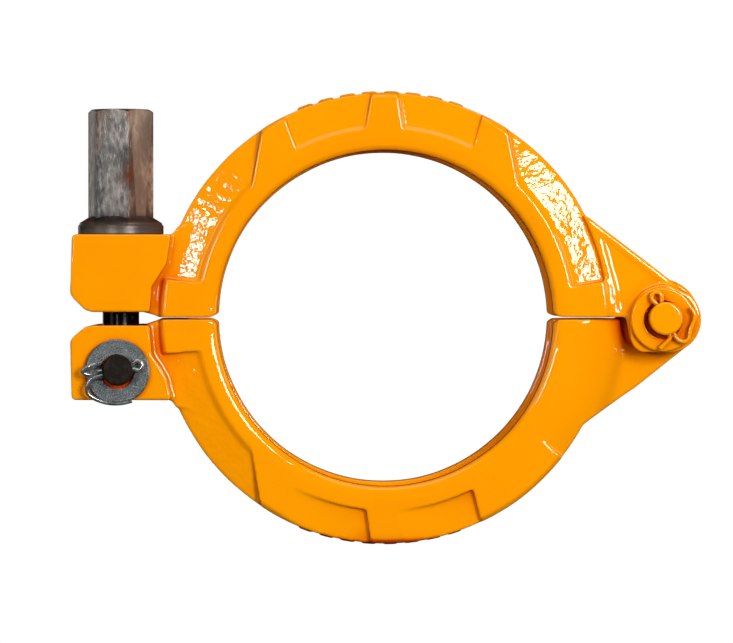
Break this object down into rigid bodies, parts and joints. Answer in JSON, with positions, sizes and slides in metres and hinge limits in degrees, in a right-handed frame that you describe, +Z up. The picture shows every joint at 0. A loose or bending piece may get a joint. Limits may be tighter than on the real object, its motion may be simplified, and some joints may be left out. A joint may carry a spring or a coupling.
{
  "type": "pipe coupling",
  "caption": "Hinged pipe clamp coupling: two grooved half rings joined by a hinge pin and closed by a swing bolt with a long hexagon nut.",
  "frame": {"origin": "ring centre, on the pipe axis at mid width", "axes": "+Y along the pipe axis, away from the viewer; +X from the ring centre toward the hinge; +Z up, toward the nut"},
  "size_m": [0.2554, 0.074, 0.1848],
  "materials": {
    "upper_enamel": "glossy orange-yellow enamel over a forged steel surface",
    "lower_enamel": "glossy orange-yellow enamel over a forged steel surface",
    "hinge_pin_enamel": "the same enamel, over the hinge pin",
    "hinge_washer_enamel": "the same enamel, over the hinge washers",
    "hinge_cotter_enamel": "the same enamel, over the hinge split pins",
    "bolt_steel": "dark oiled steel, rolled thread",
    "bolt_pin_steel": "dark heat-treated steel",
    "zinc_washer": "dull zinc plate with bright rims",
    "zinc_wire": "bright zinc plated wire",
    "collar_steel": "oxidised bare steel, brown-grey",
    "nut_steel": "oxidised bare steel with upright drawing streaks"
  },
  "bodies": {
    "lower": {"lower_half": "lower_enamel", "hinge_pin": "hinge_pin_enamel", "hinge_washer_front": "hinge_washer_enamel", "hinge_washer_rear": "hinge_washer_enamel", "hinge_cotter_front": "hinge_cotter_enamel", "hinge_cotter_rear": "hinge_cotter_enamel", "bolt_pin": "bolt_pin_steel", "bolt_washer_front": "zinc_washer", "bolt_washer_rear": "zinc_washer", "bolt_cotter_front": "zinc_wire", "bolt_cotter_rear": "zinc_wire"},
    "upper": {"upper_half": "upper_enamel"},
    "bolt": {"swing_bolt": "bolt_steel"},
    "collar": {"nut_washer": "collar_steel"},
    "nut": {"long_nut": "nut_steel"}
  },
  "joints": [
    {"name": "clamp_open", "type": "hinge", "parent": "lower", "child": "upper", "pos_m": [0.1124, 0, 0], "axis": [0, 1, 0], "range_deg": [0, 95]},
    {"name": "bolt_swing", "type": "hinge", "parent": "lower", "child": "bolt", "pos_m": [-0.1077, 0, -0.0206], "axis": [0, -1, 0], "range_deg": [0, 170]},
    {"name": "nut_lift", "type": "slide", "parent": "bolt", "child": "collar", "axis": [0, 0, 1], "range_m": [0, 0.038]},
    {"name": "nut_turn", "type": "hinge", "parent": "collar", "child": "nut", "pos_m": [-0.1077, 0, 0.06], "axis": [0, 0, 1], "range_deg": [0, 6841]}
  ],
  "couplings": [
    {"joint": "nut_turn", "follows": "nut_lift", "rad_per_m": 3141.6},
    {"joint": "bolt_swing", "follows": "nut_lift", "rad_per_m": 22.965},
    {"joint": "clamp_open", "follows": "nut_lift", "rad_per_m": 2.4802}
  ]
}
